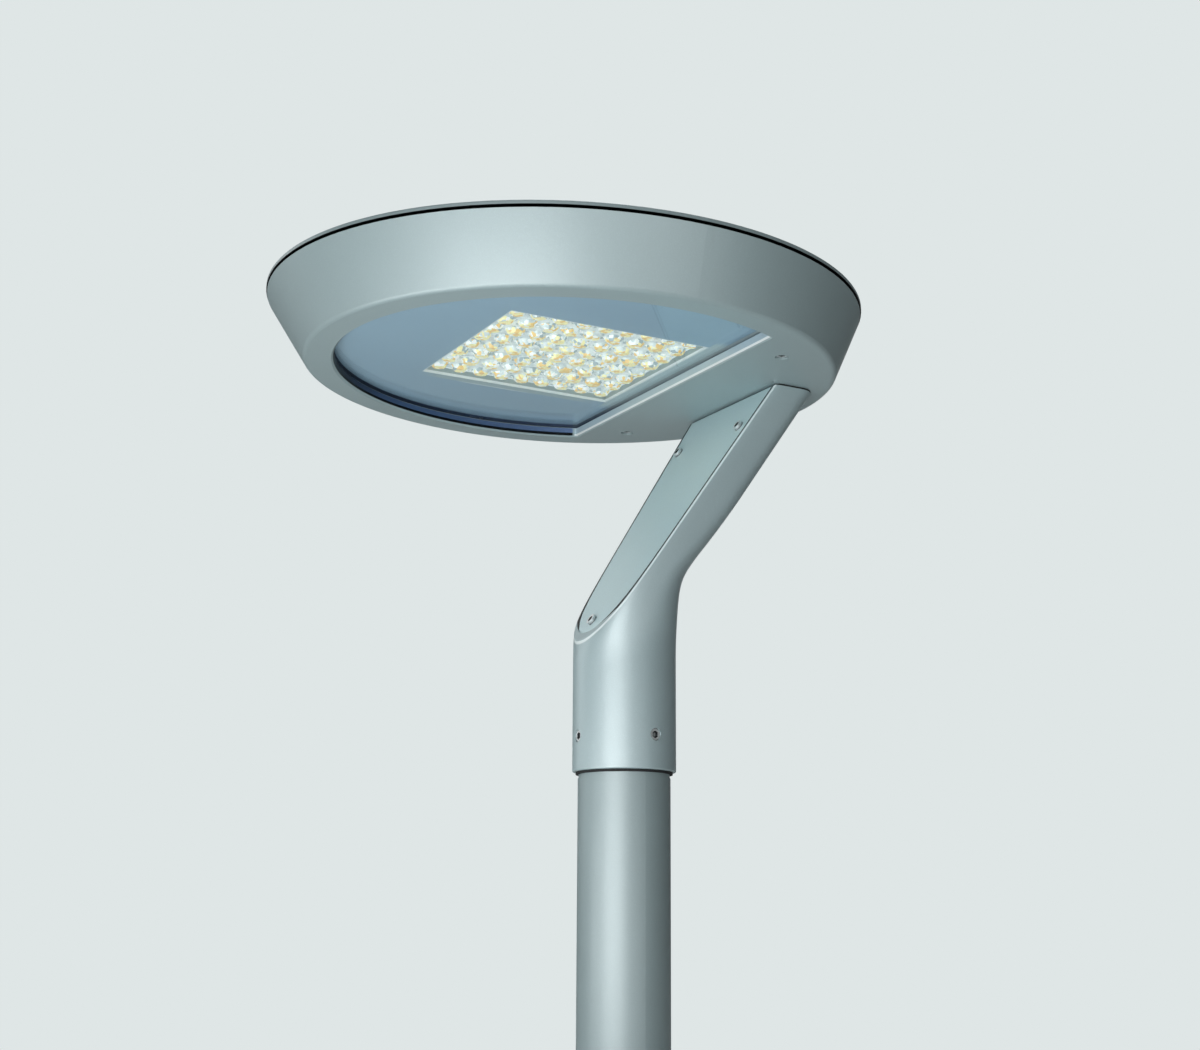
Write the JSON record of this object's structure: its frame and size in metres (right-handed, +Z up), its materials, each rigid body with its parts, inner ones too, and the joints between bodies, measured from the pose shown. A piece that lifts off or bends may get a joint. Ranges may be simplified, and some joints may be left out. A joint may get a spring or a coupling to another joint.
{
  "type": "post top light",
  "caption": "Flat round LED head under a thin lid, carried off centre on a leaning hollow arm whose sleeve clamps over the top of a round pole.",
  "frame": {"origin": "centre of the pole's lower end", "axes": "+Z up along the pole, -Y towards the light's front, X across, the plane x = 0 halves the light"},
  "size_m": [0.4984, 0.4982, 0.6578],
  "materials": {
    "coat": "satin fine-textured powder coat",
    "pole_coat": "satin powder coat",
    "steel": "plain stainless",
    "seal": "matt",
    "pane": "clear polished",
    "plate": "satin blue-grey",
    "lens": "clear moulded",
    "board": "white solder mask",
    "source": "yellow phosphor",
    "sheet": "mill finish",
    "case": "moulded",
    "terminal": "moulded",
    "gland": "moulded"
  },
  "bodies": {
    "root": {"arm_casting": "coat", "arm_cover": "coat", "housing": "coat", "lid": "coat", "pole": "pole_coat", "cover_screws": "steel", "grub_screws": "steel", "gear_tray_screws": "steel", "head_bolts": "steel", "head_washers": "steel", "glass_clips": "steel", "tray_screws": "steel", "lid_screws": "steel", "sleeve_seal": "seal", "cover_gasket": "seal", "head_gasket": "seal", "glass_gasket": "seal", "lid_gasket": "seal", "glass": "pane", "reflector_plate": "plate", "lens_plate_front": "lens", "lens_plate_middle": "lens", "lens_plate_rear": "lens", "led_board_front": "board", "led_board_middle": "board", "led_board_rear": "board", "led_packages": "source", "led_tray": "sheet", "gear_tray": "sheet", "heat_sink": "sheet", "driver": "case", "terminal_block": "terminal", "cable_gland": "gland"}
  },
  "joints": []
}
